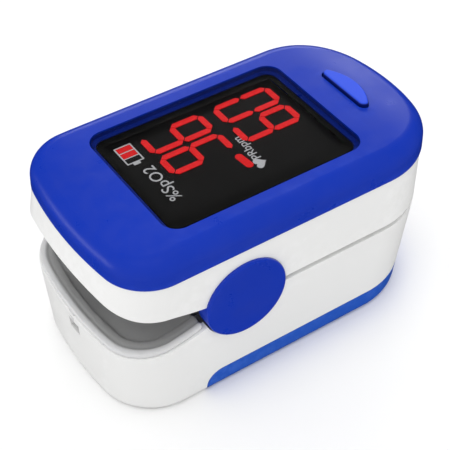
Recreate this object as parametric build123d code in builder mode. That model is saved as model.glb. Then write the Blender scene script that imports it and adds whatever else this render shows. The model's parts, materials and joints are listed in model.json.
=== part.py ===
from build123d import *
import os
from math import atan2, cos, degrees, radians, sin, sqrt

# Fingertip pulse oximeter. Millimetres, +Z up.
# X runs along the finger: the mouth is at -X, the hinge and the power button are at +X.
# Origin: middle of the base face, under the middle of the top cover.

# ---- driving dimensions -------------------------------------------------
LENGTH = 58.0            # top cover, mouth to rear
WIDTH = 32.8             # top cover
REAR_R = 27.0            # rear arc of the plan outline
REAR_CORNER_R = 12.9
FRONT_R = 63.2           # front arc of the plan outline
FRONT_CORNER_R = 7.4

Z_TRAY_TOP = 3.8         # battery cover wall, top edge
SEAM = 0.1               # gap between battery cover and lower housing
Z_LOWER_RIM = 17.0       # lower housing edge behind the side discs
Z_UPPER_RIM = 17.85      # upper housing edge behind the side discs
Z_COVER_LINE = 27.1      # top cover meets upper housing
Z_TOP = 31.54            # top cover plateau
SHELL_INSET = 0.2        # white shells sit in from the top cover outline
WALL = 1.3

DISC_X, DISC_Z, DISC_R = -9.5, 17.9, 6.7
DISC_IN, DISC_OUT = 14.3, 16.8

HINGE_X, HINGE_Z = 24.9, 17.4
HINGE_PIN_R = 0.6
KNUCKLE_R = 1.5

TRAY_FRONT = -15.6       # front end of the battery cover
CELL_R, CELL_Y, CELL_Z = 5.25, 5.4, 6.6
BAY_X0, BAY_X1 = -24.0, 23.8
BAY_HALF = 10.95
Z_BAY_TOP = 12.0
Z_PARTITION = 12.9

WINDOW_X, WINDOW_L, WINDOW_W, WINDOW_R = -2.1, 33.2, 23.7, 2.6
Z_CEILING = 23.8         # underside of the upper housing floor
Z_FLOOR_TOP = 25.0
Z_PCB, PCB_T = 25.6, 0.8
SCREW_POINTS = [(-21.5, 10.5), (-21.5, -10.5), (16.0, 11.0), (16.0, -11.0)]

BUTTON_X0, BUTTON_X1, BUTTON_HALF = 19.05, 21.9, 5.05

os.makedirs("parts", exist_ok=True)


def plan(x_front, x_rear, half, rear_r, rear_corner, front_r, front_corner):
    """Closed plan outline of ten tangent edges, symmetric about the X axis."""
    dy = half - rear_corner
    dx = sqrt((rear_r - rear_corner) ** 2 - dy ** 2)
    xc = x_rear - rear_r + dx
    a = atan2(dy, dx)
    dy2 = half - front_corner
    dx2 = sqrt((front_r - front_corner) ** 2 - dy2 ** 2)
    xk = x_front + front_r - dx2
    b = atan2(dy2, dx2)
    m = (a + radians(90)) / 2
    n = radians(90) + (radians(90) - b) / 2
    p1 = (xc + rear_corner * cos(a), dy + rear_corner * sin(a))
    pm = (xc + rear_corner * cos(m), dy + rear_corner * sin(m))
    p2 = (xc, half)
    p3 = (xk, half)
    pn = (xk + front_corner * cos(n), dy2 + front_corner * sin(n))
    p4 = (xk - front_corner * cos(b), dy2 + front_corner * sin(b))

    def low(p):
        return (p[0], -p[1])

    with BuildSketch() as face:
        with BuildLine():
            ThreePointArc(low(p1), (x_rear, 0), p1)
            ThreePointArc(p1, pm, p2)
            Line(p2, p3)
            ThreePointArc(p3, pn, p4)
            ThreePointArc(p4, (x_front, 0), low(p4))
            ThreePointArc(low(p4), low(pn), low(p3))
            Line(low(p3), low(p2))
            ThreePointArc(low(p2), low(pm), low(p1))
        make_face()
    return face.sketch


def cover_plan(inset=0.0):
    """Top cover outline, moved in by inset with every tangency kept."""
    return plan(-LENGTH / 2 + inset, LENGTH / 2 - inset, WIDTH / 2 - inset, REAR_R - inset,
                REAR_CORNER_R - inset, FRONT_R - inset, FRONT_CORNER_R - inset)


def upper_plan(z, inset=0.0):
    """Upper housing outline at height z: the nose leans out towards the mouth."""
    nose = 0.15 + 0.179 * (Z_COVER_LINE - z)
    i = SHELL_INSET + inset
    return plan(-LENGTH / 2 - nose + 0.1 + i, LENGTH / 2 - i, WIDTH / 2 - i, REAR_R - i,
                REAR_CORNER_R - i, FRONT_R - i, FRONT_CORNER_R - i)


def lower_plan(z, inset=0.0):
    """Lower housing outline at height z: sides and rear draw in towards the base."""
    t = 1.0 - z / Z_LOWER_RIM
    i = SHELL_INSET + inset
    return plan(-29.8 + 0.8 * t + inset, LENGTH / 2 - i - 1.5 * t, WIDTH / 2 - i - 0.8 * t,
                REAR_R - i, REAR_CORNER_R - i + 0.3 * t, FRONT_R - i, FRONT_CORNER_R - i + 2.0 * t)


def upper_lip(x):
    """Height of the upper edge of the mouth at distance x."""
    pts = [(-32.0, 24.0), (-29.6, 22.86), (-28.8, 22.4), (-27.3, 21.85), (-22.1, 20.75), (-18.9, 19.95), (-15.6, 19.3), (-9.5, 18.9)]
    for (x0, z0), (x1, z1) in zip(pts, pts[1:]):
        if x <= x1:
            return z0 + (z1 - z0) * (x - x0) / (x1 - x0)
    return pts[-1][1]


UPPER_LIP = [(-32.0, 23.95), (-29.6, 22.86), (-27.3, 21.85), (-22.1, 20.75), (-18.9, 19.95), (-15.6, 19.3), (-9.5, 18.75)]
LOWER_RIM = [(-9.5, 17.0), (-13.0, 16.35), (-15.7, 15.2), (-17.4, 14.55), (-20.0, 13.95), (-22.4, 13.55), (-27.3, 12.85), (-32.0, 12.2)]

# =========================================================================
# LOWER HALF
# =========================================================================

# ---- envelope of the lower half, shared by the housing and the battery cover
with BuildPart() as lower_envelope:
    with BuildSketch(Plane.XY):
        add(lower_plan(0))
    with BuildSketch(Plane.XY.offset(Z_LOWER_RIM)):
        add(lower_plan(Z_LOWER_RIM))
    loft(ruled=True)
    fillet(lower_envelope.faces().sort_by(Axis.Z)[0].edges(), 1.3)

# cavity of the lower half, open at the top
with BuildPart() as lower_cavity:
    with BuildSketch(Plane.XY.offset(4.9)):
        add(lower_plan(4.9, WALL))
    with BuildSketch(Plane.XY.offset(Z_LOWER_RIM + 0.01)):
        add(lower_plan(Z_LOWER_RIM, WALL))
    loft(ruled=True)

# battery cover region: the base and a low wall behind TRAY_FRONT, top front corner rounded
with BuildPart() as tray_region:
    with BuildSketch(Plane.XZ.offset(-25)) as tray_side:
        with BuildLine():
            Polyline((TRAY_FRONT, -1), (40, -1), (40, Z_TRAY_TOP), (TRAY_FRONT, Z_TRAY_TOP), close=True)
        make_face()
        fillet(tray_side.vertices().group_by(Axis.X)[0].sort_by(Axis.Y)[-1], 2.6)
    extrude(amount=50)

with BuildPart() as tray_void:
    with BuildSketch(Plane.XZ.offset(-25)) as void_side:
        with BuildLine():
            Polyline((TRAY_FRONT - SEAM, -1), (40, -1), (40, Z_TRAY_TOP + SEAM), (TRAY_FRONT - SEAM, Z_TRAY_TOP + SEAM), close=True)
        make_face()
        fillet(void_side.vertices().group_by(Axis.X)[0].sort_by(Axis.Y)[-1], 2.7)
    extrude(amount=50)

# battery bay: a box inside the shell, open at the bottom behind TRAY_FRONT
with BuildPart() as bay_outer:
    with BuildSketch(Plane.XY.offset(1.5)):
        Rectangle(BAY_X1 - BAY_X0 + 1.4, 2 * BAY_HALF + 1.1, align=(Align.MIN, Align.CENTER))
    extrude(amount=Z_PARTITION - 1.5)

bay_block = Pos(BAY_X0 - 0.7, 0, 0) * bay_outer.part
with BuildPart() as bay_limit:
    with BuildSketch(Plane.XY.offset(0)):
        add(lower_plan(0, 1.0))
    with BuildSketch(Plane.XY.offset(Z_PARTITION)):
        add(lower_plan(Z_PARTITION, 1.0))
    loft(ruled=True)
with BuildPart() as bay_inner:
    with BuildSketch(Plane.XY.offset(1.3)):
        with Locations(((BAY_X0 + BAY_X1) / 2, 0)):
            Rectangle(BAY_X1 - BAY_X0, 2 * BAY_HALF)
    extrude(amount=Z_BAY_TOP - 1.3)
with BuildPart() as bay_inner_limit:
    with BuildSketch(Plane.XY.offset(0)):
        add(lower_plan(0, 1.5))
    with BuildSketch(Plane.XY.offset(Z_PARTITION)):
        add(lower_plan(Z_PARTITION, 1.5))
    loft(ruled=True)

# lower edge of the mouth, seen from the side
with BuildPart() as lower_mouth_cut:
    with BuildSketch(Plane.XZ.offset(-25)):
        with BuildLine():
            rim_line = Spline(LOWER_RIM)
            Polyline(LOWER_RIM[-1], (-32.0, 30), (-9.5, 30), LOWER_RIM[0])
        make_face()
    extrude(amount=50)

with BuildPart() as disc_seat_lower:
    with BuildSketch(Plane.XZ.offset(-25)):
        with Locations((DISC_X, DISC_Z)):
            Circle(DISC_R + 0.22)
    extrude(amount=50)

# inner lip that closes the gap between the halves behind the discs
with BuildPart() as lip_ring:
    with BuildSketch(Plane.XY.offset(14.0)):
        add(cover_plan(1.95))
        add(cover_plan(2.75), mode=Mode.SUBTRACT)
        with Locations((-15.9, 0)):
            Rectangle(27, 40, mode=Mode.SUBTRACT)
        with Locations((26, 0)):
            Rectangle(10, 12.4, mode=Mode.SUBTRACT)
    extrude(amount=4.7)
    # foot that joins the lip to the wall
    with BuildSketch(Plane.XY.offset(14.6)):
        add(cover_plan(1.35))
        add(cover_plan(2.75), mode=Mode.SUBTRACT)
        with Locations((-15.9, 0)):
            Rectangle(27, 40, mode=Mode.SUBTRACT)
        with Locations((26, 0)):
            Rectangle(10, 12.4, mode=Mode.SUBTRACT)
    extrude(amount=1.5)

with BuildPart() as lower_housing:
    add(lower_envelope.part)
    add(lower_cavity.part, mode=Mode.SUBTRACT)
    # room under the floor web in front of the battery cover
    add(bay_block & bay_limit.part)
    add(tray_void.part & (lower_envelope.part - (bay_block & bay_limit.part)), mode=Mode.SUBTRACT)
    add(bay_inner.part & bay_inner_limit.part, mode=Mode.SUBTRACT)
    # room for the battery cover's wall round the rear end of the bay
    with BuildSketch(Plane.XY):
        add(lower_plan(0, -2.0))
        add(lower_plan(1.2, 2.15), mode=Mode.SUBTRACT)
        with Locations((-15, 0)):
            Rectangle(50, 40, mode=Mode.SUBTRACT)
    extrude(amount=Z_TRAY_TOP + SEAM, mode=Mode.SUBTRACT)
    add(lip_ring.part)
    add(lower_mouth_cut.part, mode=Mode.SUBTRACT)
    # side disc seats, open at the top
    with BuildSketch(Plane.XZ.offset(-25)):
        with Locations((DISC_X, DISC_Z)):
            Circle(DISC_R + 0.22)
    extrude(amount=12.3, mode=Mode.SUBTRACT)
    with BuildSketch(Plane.XZ.offset(25)):
        with Locations((DISC_X, DISC_Z)):
            Circle(DISC_R + 0.22)
    extrude(amount=-12.3, mode=Mode.SUBTRACT)
    # hinge block and centre knuckle
    with BuildSketch(Plane.XZ.offset(-2.3)):
        with Locations((HINGE_X, HINGE_Z)):
            Circle(KNUCKLE_R)
        with BuildLine():
            Polyline((HINGE_X - KNUCKLE_R, HINGE_Z), (HINGE_X + KNUCKLE_R, HINGE_Z),
                     (HINGE_X + KNUCKLE_R - 0.6, 12.0), (HINGE_X - KNUCKLE_R - 2.0, 12.0), close=True)
        make_face()
    extrude(amount=4.6)
    with BuildSketch(Plane.XZ.offset(-10)):
        with Locations((HINGE_X, HINGE_Z)):
            Circle(HINGE_PIN_R)
    extrude(amount=20, mode=Mode.SUBTRACT)
    # sensor pocket through the partition, between the cells
    with BuildSketch(Plane.XY.offset(11.2)):
        with Locations((-8, 0)):
            Rectangle(6.6, 4.2)
    extrude(amount=3, mode=Mode.SUBTRACT)
    # slot for the pad's tongue in the front wall
    with BuildSketch(Plane.YZ.offset(-31)):
        with Locations((-1.3, 10.2)):
            Rectangle(2.7, 2.0)
    extrude(amount=4.5, mode=Mode.SUBTRACT)
    # slide rails for the battery cover, on the outside of the bay walls
    for side in (1, -1):
        with BuildSketch(Plane.XY.offset(1.9)):
            with Locations((4.0, side * (BAY_HALF + 0.55 + 0.35))):
                Rectangle(28.0, 0.7)
        extrude(amount=0.8)
    # blind sockets for the spring anchor pins, between the bay walls and the side walls
    with BuildSketch(Plane.XZ.offset(-14.9)):
        with Locations((DISC_X, 6.3)):
            Circle(0.55)
    extrude(amount=29.8, mode=Mode.SUBTRACT)
lower_housing.part.label = "lower_housing"

# ---- battery cover ------------------------------------------------------
with BuildPart() as tray_inside:
    with BuildSketch(Plane.XY.offset(1.2)):
        add(lower_plan(1.2, 1.9))
    extrude(amount=10)

with BuildPart() as battery_cover:
    add(lower_envelope.part & tray_region.part)
    add(tray_inside.part, mode=Mode.SUBTRACT)
    # hooks that slide over the bay rails
    for side in (1, -1):
        with BuildSketch(Plane.XY.offset(1.2)):
            with Locations((4.0, side * (BAY_HALF + 0.55 + 0.7 + 0.15 + 0.3))):
                Rectangle(20.0, 0.6)
        extrude(amount=2.4)
        with BuildSketch(Plane.XY.offset(2.85)):
            with Locations((4.0, side * (BAY_HALF + 0.55 + 0.2 + 0.55))):
                Rectangle(20.0, 1.1)
        extrude(amount=0.7)
    # thumb grip ribs on the underside, sunk so that the base stays flat
    for k in range(5):
        with BuildSketch(Plane.XY):
            with Locations((12.0 + 1.6 * k, 0)):
                SlotOverall(11.0 - 0.9 * abs(k - 2), 0.7, rotation=90)
        extrude(amount=0.4, mode=Mode.SUBTRACT)
battery_cover.part.label = "battery_cover"

# ---- cells --------------------------------------------------------------
with BuildPart() as battery_left:
    with BuildSketch(Plane.YZ.offset(-21.0)):
        with Locations((-CELL_Y, CELL_Z)):
            Circle(CELL_R)
    extrude(amount=43.7)
    fillet(battery_left.edges().filter_by(GeomType.CIRCLE), 0.4)
    with BuildSketch(Plane.YZ.offset(22.7)):
        with Locations((-CELL_Y, CELL_Z)):
            Circle(1.9)
    extrude(amount=0.8)
battery_left.part.label = "battery_left"

with BuildPart() as battery_right:
    with BuildSketch(Plane.YZ.offset(-22.9)):
        with Locations((CELL_Y, CELL_Z)):
            Circle(CELL_R)
    extrude(amount=43.7)
    fillet(battery_right.edges().filter_by(GeomType.CIRCLE), 0.4)
    with BuildSketch(Plane.YZ.offset(-23.7)):
        with Locations((CELL_Y, CELL_Z)):
            Circle(1.9)
    extrude(amount=0.8)
battery_right.part.label = "battery_right"

# ---- battery contacts ---------------------------------------------------
with BuildPart() as front_contact_plate:
    with BuildSketch(Plane.YZ.offset(BAY_X0)):
        with Locations((0, CELL_Z)):
            RectangleRounded(17.5, 7.0, 1.0)
    extrude(amount=0.3)
front_contact_plate.part.label = "front_contact_plate"

with BuildPart() as rear_contact_plates:
    with BuildSketch(Plane.YZ.offset(BAY_X1 - 0.3)):
        with Locations((-CELL_Y, CELL_Z + 0.3), (CELL_Y, CELL_Z + 0.3)):
            RectangleRounded(6.0, 5.8, 1.0)
    extrude(amount=0.3)
rear_contact_plates.part.label = "rear_contact_plates"

# conical contact springs, one at each cell's flat end, drawn as a closed coil
with BuildPart() as contact_springs:
    with BuildLine():
        Helix(pitch=0.8, height=1.96, radius=2.0, center=(BAY_X0 + 0.3 + 0.27, -CELL_Y, CELL_Z), direction=(1, 0, 0))
    with BuildSketch(Plane(origin=contact_springs.pending_edges[0] @ 0, z_dir=contact_springs.pending_edges[0] % 0)):
        Circle(0.25)
    sweep(is_frenet=True)
    with BuildLine():
        coil = Helix(pitch=0.8, height=1.96, radius=2.0, center=(20.8 + 0.27, CELL_Y, CELL_Z), direction=(1, 0, 0))
    with BuildSketch(Plane(origin=coil @ 0, z_dir=coil % 0)):
        Circle(0.25)
    sweep(path=coil, is_frenet=True)
contact_springs.part.label = "contact_springs"

# ---- sensor under the finger -------------------------------------------
with BuildPart() as sensor_board:
    with BuildSketch(Plane.XY.offset(11.3)):
        with Locations((-8, 0)):
            Rectangle(6.4, 4.0)
    extrude(amount=0.8)
sensor_board.part.label = "sensor_board"

with BuildPart() as photodiode:
    with BuildSketch(Plane.XY.offset(12.1)):
        with Locations((-8, 0)):
            Rectangle(3.4, 3.0)
    extrude(amount=0.8)
    chamfer(photodiode.faces().sort_by(Axis.Z)[-1].edges(), 0.15)
photodiode.part.label = "photodiode"

with BuildPart() as photodiode_window:
    with BuildSketch(Plane.XY.offset(12.95)):
        with Locations((-8, 0)):
            RectangleRounded(6.0, 5.4, 1.2)
    extrude(amount=0.6)
photodiode_window.part.label = "photodiode_window"

# ---- lower finger pad ---------------------------------------------------
# full width in the mouth, narrower between the springs, with a stop wall at its rear end
TROUGH_R = 30.0
with BuildPart() as pad_mouth:
    with BuildSketch(Plane.XY.offset(10.9)):
        add(lower_plan(12.0, WALL + 0.08))
        with Locations((20.6, 0)):
            Rectangle(74, 40, mode=Mode.SUBTRACT)
    extrude(amount=8)
with BuildPart() as pad_channel:
    with BuildSketch(Plane.XY.offset(10.9)):
        with Locations((-3.6, 0)):
            Rectangle(26.2, 23.2)
    extrude(amount=9.2)
with BuildPart() as bead_band:
    with BuildSketch(Plane.XZ.offset(-25)):
        with BuildLine():
            bead_low = Spline([(x, z + 0.05) for x, z in LOWER_RIM[2:]])
            Line(bead_low @ 1, (bead_low @ 1) + Vector(0, 0.85))
            bead_top = Spline([(x, z + 0.9) for x, z in LOWER_RIM[2:]])
            Line(bead_low @ 0, (bead_low @ 0) + Vector(0, 0.85))
        make_face()
        with Locations((-13.0, 15)):
            Rectangle(6.9, 12, mode=Mode.SUBTRACT)
    extrude(amount=50)
with BuildPart() as bead_ring:
    with BuildSketch(Plane.XY.offset(11.0)):
        add(lower_plan(13.0, 0.2))
        add(lower_plan(13.0, 2.6), mode=Mode.SUBTRACT)
    extrude(amount=6)
with BuildPart() as trough_cut:
    with BuildSketch(Plane.YZ.offset(-22.0)):
        with Locations((0, 13.55 + TROUGH_R)):
            Circle(TROUGH_R)
    extrude(amount=30.0)
with BuildPart() as trough_dip:
    with BuildSketch(Plane(origin=(-22.0, 0, 13.55 + TROUGH_R), x_dir=(0, 1, 0), z_dir=(-1, 0, -0.13))):
        Circle(TROUGH_R)
    extrude(amount=12)
    with BuildSketch(Plane(origin=(-22.0, 0, 13.55 + TROUGH_R), x_dir=(0, 1, 0), z_dir=(-1, 0, -0.13))):
        Circle(TROUGH_R)
    extrude(amount=-1.0)

pad_floor_cut = Pos(0, 0, 0) * Box(BAY_X1 - BAY_X0 + 1.6, 40, Z_PARTITION + 0.05 - 5, align=(Align.MIN, Align.CENTER, Align.MIN))
with BuildPart() as lower_finger_pad:
    add(pad_mouth.part)
    add(pad_channel.part)
    add(trough_cut.part, mode=Mode.SUBTRACT)
    add(trough_dip.part, mode=Mode.SUBTRACT)
    add(Pos(0, 0, 0.35) * lower_mouth_cut.part & pad_mouth.part, mode=Mode.SUBTRACT)
    add(Pos(BAY_X0 - 0.75, 0, 5) * pad_floor_cut, mode=Mode.SUBTRACT)
    add(bead_band.part & bead_ring.part)
    # opening for the sensor window
    with BuildSketch(Plane.XY.offset(10)):
        with Locations((-8, 0)):
            RectangleRounded(6.04, 5.44, 1.22)
    extrude(amount=6, mode=Mode.SUBTRACT)
lower_finger_pad.part.label = "lower_finger_pad"

# ---- springs and pins ---------------------------------------------------
with BuildPart() as spring_anchor_pins:
    for side in (1, -1):
        with BuildSketch(Plane.XZ.offset(-side * 14.9)):
            with Locations((DISC_X, 6.3)):
                Circle(0.55)
        extrude(amount=side * 3.9)
spring_anchor_pins.part.label = "spring_anchor_pins"

with BuildPart() as hinge_pin:
    with BuildSketch(Plane.XZ.offset(-5.6)):
        with Locations((HINGE_X, HINGE_Z)):
            Circle(HINGE_PIN_R)
    extrude(amount=11.2)
    chamfer(hinge_pin.edges().filter_by(GeomType.CIRCLE), 0.12)
hinge_pin.part.label = "hinge_pin"

with BuildPart() as return_spring_left:
    with BuildLine():
        turns = Helix(pitch=0.62, height=9.4, radius=0.72, center=(DISC_X, -12.62, 7.3), direction=(0, 0, 1))
    with BuildSketch(Plane(origin=turns @ 0, z_dir=turns % 0)):
        Circle(0.18)
    sweep(path=turns, is_frenet=True)
return_spring_left.part.label = "return_spring_left"

with BuildPart() as return_spring_right:
    mirror(return_spring_left.part, about=Plane.XZ)
return_spring_right.part.label = "return_spring_right"

# =========================================================================
# UPPER HALF
# =========================================================================

with BuildPart() as upper_envelope:
    with BuildSketch(Plane.XY.offset(Z_UPPER_RIM)):
        add(upper_plan(Z_UPPER_RIM))
    with BuildSketch(Plane.XY.offset(Z_COVER_LINE)):
        add(upper_plan(Z_COVER_LINE))
    loft(ruled=True)

with BuildPart() as upper_room:
    with BuildSketch(Plane.XY.offset(Z_FLOOR_TOP)):
        add(upper_plan(Z_FLOOR_TOP, WALL))
    with BuildSketch(Plane.XY.offset(Z_COVER_LINE)):
        add(upper_plan(Z_COVER_LINE, WALL))
    loft(ruled=True)

with BuildPart() as finger_room:
    with BuildSketch(Plane.XY.offset(Z_UPPER_RIM - 0.01)):
        add(upper_plan(Z_UPPER_RIM, WALL))
    with BuildSketch(Plane.XY.offset(Z_CEILING)):
        add(upper_plan(Z_CEILING, WALL))
    loft(ruled=True)

with BuildPart() as upper_mouth_cut:
    with BuildSketch(Plane.XZ.offset(-25)):
        with BuildLine():
            Spline(UPPER_LIP)
            Polyline(UPPER_LIP[-1], (-9.5, 10), (-32.0, 10), UPPER_LIP[0])
        make_face()
    extrude(amount=50)

with BuildPart() as upper_housing:
    add(upper_envelope.part)
    add(upper_room.part, mode=Mode.SUBTRACT)
    add(finger_room.part, mode=Mode.SUBTRACT)
    add(upper_mouth_cut.part, mode=Mode.SUBTRACT)
    # side disc seats
    for side in (1, -1):
        with BuildSketch(Plane.XZ.offset(-side * 25)):
            with Locations((DISC_X, DISC_Z)):
                Circle(DISC_R + 0.03)
        extrude(amount=side * 11.2, mode=Mode.SUBTRACT)
        # web behind each disc, hanging from the floor
        with BuildSketch(Plane.XZ.offset(-side * DISC_IN)):
            with BuildLine():
                Polyline((DISC_X - 4.6, 24.4), (DISC_X + 4.6, 24.4), (DISC_X + 4.6, 15.0), (DISC_X + 2.6, 12.8),
                         (DISC_X - 2.6, 12.8), (DISC_X - 4.6, 15.0), close=True)
            make_face()
        extrude(amount=side * 0.7)
        # boss hole for the disc spigot
        with BuildSketch(Plane.XZ.offset(-side * 15)):
            with Locations((DISC_X, DISC_Z)):
                Circle(1.6)
        extrude(amount=side * 2.0, mode=Mode.SUBTRACT)
        # hinge arm and outer knuckle
        with BuildSketch(Plane.XZ.offset(-side * 5.5)):
            with Locations((HINGE_X, HINGE_Z)):
                Circle(KNUCKLE_R)
            with BuildLine():
                Polyline((HINGE_X - KNUCKLE_R, HINGE_Z), (HINGE_X + KNUCKLE_R, HINGE_Z),
                         (HINGE_X + KNUCKLE_R, 24.4), (HINGE_X - KNUCKLE_R - 1.4, 24.4), close=True)
            make_face()
        extrude(amount=side * 3.0)
    with BuildSketch(Plane.XZ.offset(-10)):
        with Locations((HINGE_X, HINGE_Z)):
            Circle(HINGE_PIN_R + 0.05)
    extrude(amount=20, mode=Mode.SUBTRACT)
    # screw posts under the circuit board
    with BuildSketch(Plane.XY.offset(Z_CEILING)):
        with Locations(*SCREW_POINTS):
            Circle(2.4)
    extrude(amount=Z_PCB - Z_CEILING)
    with BuildSketch(Plane.XY.offset(Z_CEILING)):
        with Locations(*SCREW_POINTS):
            Circle(1.65)
    extrude(amount=1.1, mode=Mode.SUBTRACT)
    with BuildSketch(Plane.XY.offset(Z_CEILING)):
        with Locations(*SCREW_POINTS):
            Circle(0.9)
    extrude(amount=2.5, mode=Mode.SUBTRACT)
    # emitter opening and flex slot in the floor
    with BuildSketch(Plane.XY.offset(Z_CEILING - 0.5)):
        with Locations((-8, 0)):
            Rectangle(3.6, 3.2)
        with Locations((19.1, 0)):
            Rectangle(2.4, 7.0)
    extrude(amount=2.5, mode=Mode.SUBTRACT)
upper_housing.part.label = "upper_housing"

# ---- side discs ---------------------------------------------------------
with BuildPart() as side_disc_left:
    with BuildSketch(Plane.XZ.offset(DISC_OUT)):
        with Locations((DISC_X, DISC_Z)):
            Circle(DISC_R)
    extrude(amount=-(DISC_OUT - DISC_IN))
    fillet(side_disc_left.faces().sort_by(Axis.Y)[0].edges(), 0.35)
    # spigot into the web, with a blind hole for the spring post
    with BuildSketch(Plane.XZ.offset(DISC_IN)):
        with Locations((DISC_X, DISC_Z)):
            Circle(1.6)
    extrude(amount=-0.7)
    with BuildSketch(Plane.XZ.offset(DISC_IN + 1.2)):
        with Locations((DISC_X, DISC_Z)):
            Circle(0.6)
    extrude(amount=-2.0, mode=Mode.SUBTRACT)
side_disc_left.part.label = "side_disc_left"

with BuildPart() as side_disc_right:
    mirror(side_disc_left.part, about=Plane.XZ)
side_disc_right.part.label = "side_disc_right"

with BuildPart() as spring_posts:
    for side in (1, -1):
        with BuildSketch(Plane.XZ.offset(-side * (DISC_IN + 1.2))):
            with Locations((DISC_X, DISC_Z)):
                Circle(0.6)
        extrude(amount=side * 4.0)
spring_posts.part.label = "spring_posts"

# ---- upper finger pad ---------------------------------------------------
with BuildPart() as arch_cut:
    with BuildSketch(Plane.YZ.offset(-35)):
        with Locations((0, 22.75 - TROUGH_R)):
            Circle(TROUGH_R)
    extrude(amount=60)
with BuildPart() as upper_pad_mouth:
    with BuildSketch(Plane.XY.offset(19.5)):
        add(upper_plan(23.0, WALL + 0.3))
        with Locations((20.4, 0)):
            Rectangle(74, 40, mode=Mode.SUBTRACT)
    extrude(amount=Z_CEILING - 19.5)
with BuildPart() as upper_pad_channel:
    with BuildSketch(Plane.XY.offset(19.5)):
        with Locations((-4.3, 0)):
            Rectangle(25.4, 23.2)
    extrude(amount=Z_CEILING - 19.5)
with BuildPart() as lip_limit:
    with BuildSketch(Plane.XZ.offset(-25)):
        with BuildLine():
            Spline([(x, z + 0.25) for x, z in UPPER_LIP])
            Polyline((UPPER_LIP[-1][0], UPPER_LIP[-1][1] + 0.25), (-9.5, 5), (-32.0, 5), (UPPER_LIP[0][0], UPPER_LIP[0][1] + 0.25))
        make_face()
    extrude(amount=50)
with BuildPart() as upper_finger_pad:
    add(upper_pad_mouth.part)
    add(upper_pad_channel.part)
    add(arch_cut.part, mode=Mode.SUBTRACT)
    add(lip_limit.part & upper_pad_mouth.part, mode=Mode.SUBTRACT)
    with BuildSketch(Plane.XY.offset(19)):
        with Locations((-8, 0)):
            RectangleRounded(6.04, 5.44, 1.22)
    extrude(amount=6, mode=Mode.SUBTRACT)
upper_finger_pad.part.label = "upper_finger_pad"

with BuildPart() as emitter_window:
    with BuildSketch(Plane.XY.offset(22.9)):
        with Locations((-8, 0)):
            RectangleRounded(6.0, 5.4, 1.2)
    extrude(amount=0.85)
emitter_window.part.label = "emitter_window"

with BuildPart() as emitter_led:
    with BuildSketch(Plane.XY.offset(23.8)):
        with Locations((-8, 0)):
            Rectangle(3.4, 3.0)
    extrude(amount=Z_PCB - 23.8)
    fillet(emitter_led.edges().filter_by(Axis.Z), 0.3)
emitter_led.part.label = "emitter_led"

# ---- electronics --------------------------------------------------------
with BuildPart() as main_circuit_board:
    with BuildSketch(Plane.XY.offset(Z_PCB)):
        add(upper_plan(Z_COVER_LINE, WALL + 0.35))
        with Locations(*SCREW_POINTS):
            Circle(1.1, mode=Mode.SUBTRACT)
    extrude(amount=PCB_T)
main_circuit_board.part.label = "main_circuit_board"

MODULE_X0, MODULE_X1, MODULE_HALF = -17.2, 13.0, 10.4
Z_MODULE = 30.0
with BuildPart() as led_display_module:
    with BuildSketch(Plane.XY.offset(Z_PCB + PCB_T)):
        with Locations(((MODULE_X0 + MODULE_X1) / 2, 0)):
            RectangleRounded(MODULE_X1 - MODULE_X0, 2 * MODULE_HALF, 0.6)
    extrude(amount=Z_MODULE - Z_PCB - PCB_T)
    fillet(led_display_module.faces().sort_by(Axis.Z)[-1].edges(), 0.2)
led_display_module.part.label = "led_display_module"

# seven-segment digits; the tops of the digits point to -X and they read along +Y
SEG_W, SEG_T, SEG_GAP = 0.95, 0.12, 0.12
DIGIT_W = 3.7
LIT = {"0": "abcdef", "6": "acdefg", "9": "abcdfg"}
DIGITS = [("9", -0.45, -11.0, -1.15), ("6", 4.85, -11.0, -1.15), ("6", -0.3, 1.65, 11.05), ("0", 4.85, 1.65, 11.05)]


def segment_ends(y0, x_top, x_low):
    """Centre-line ends of segments a to g as plan points."""
    y1 = y0 + DIGIT_W
    xm = (x_top + x_low) / 2
    return {"a": ((x_top, y0), (x_top, y1)), "g": ((xm, y0), (xm, y1)), "d": ((x_low, y0), (x_low, y1)),
            "f": ((x_top, y0), (xm, y0)), "e": ((xm, y0), (x_low, y0)),
            "b": ((x_top, y1), (xm, y1)), "c": ((xm, y1), (x_low, y1))}


def segment_outline(p, q):
    """Six-sided outline of one segment, pointed at both ends."""
    p, q = Vector(*p, 0), Vector(*q, 0)
    u = (q - p).normalized()
    n = Vector(-u.Y, u.X, 0) * (SEG_W / 2)
    a, b = p + u * SEG_GAP, q - u * SEG_GAP
    h = u * (SEG_W / 2)
    return [a, a + h + n, b - h + n, b, b - h - n, a + h - n]


with BuildPart() as display_segments:
    with BuildSketch(Plane.XY.offset(Z_MODULE)):
        for digit, y0, x_top, x_low in DIGITS:
            ends = segment_ends(y0, x_top, x_low)
            for key in LIT[digit]:
                with BuildLine():
                    Polyline(*segment_outline(*ends[key]), close=True)
                make_face()
    extrude(amount=SEG_T)
display_segments.part.label = "display_segments"

with BuildPart() as microcontroller:
    with BuildSketch(Plane.XY.offset(Z_PCB + PCB_T)):
        with Locations((-22.6, 2.0)):
            Rectangle(5.0, 5.0)
    extrude(amount=0.9)
    chamfer(microcontroller.faces().sort_by(Axis.Z)[-1].edges(), 0.12)
microcontroller.part.label = "microcontroller"

with BuildPart() as crystal:
    with BuildSketch(Plane.XY.offset(Z_PCB + PCB_T)):
        with Locations((-22.6, -4.4)):
            SlotOverall(4.6, 1.8, rotation=90)
    extrude(amount=1.2)
crystal.part.label = "crystal"

with BuildPart() as chip_capacitors:
    with BuildSketch(Plane.XY.offset(Z_PCB + PCB_T)):
        with Locations((16.2, 2.4), (16.2, -2.4), (16.2, 5.2), (24.6, 3.4), (24.6, -3.4)):
            Rectangle(0.8, 1.6)
    extrude(amount=0.7)
chip_capacitors.part.label = "chip_capacitors"

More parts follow.
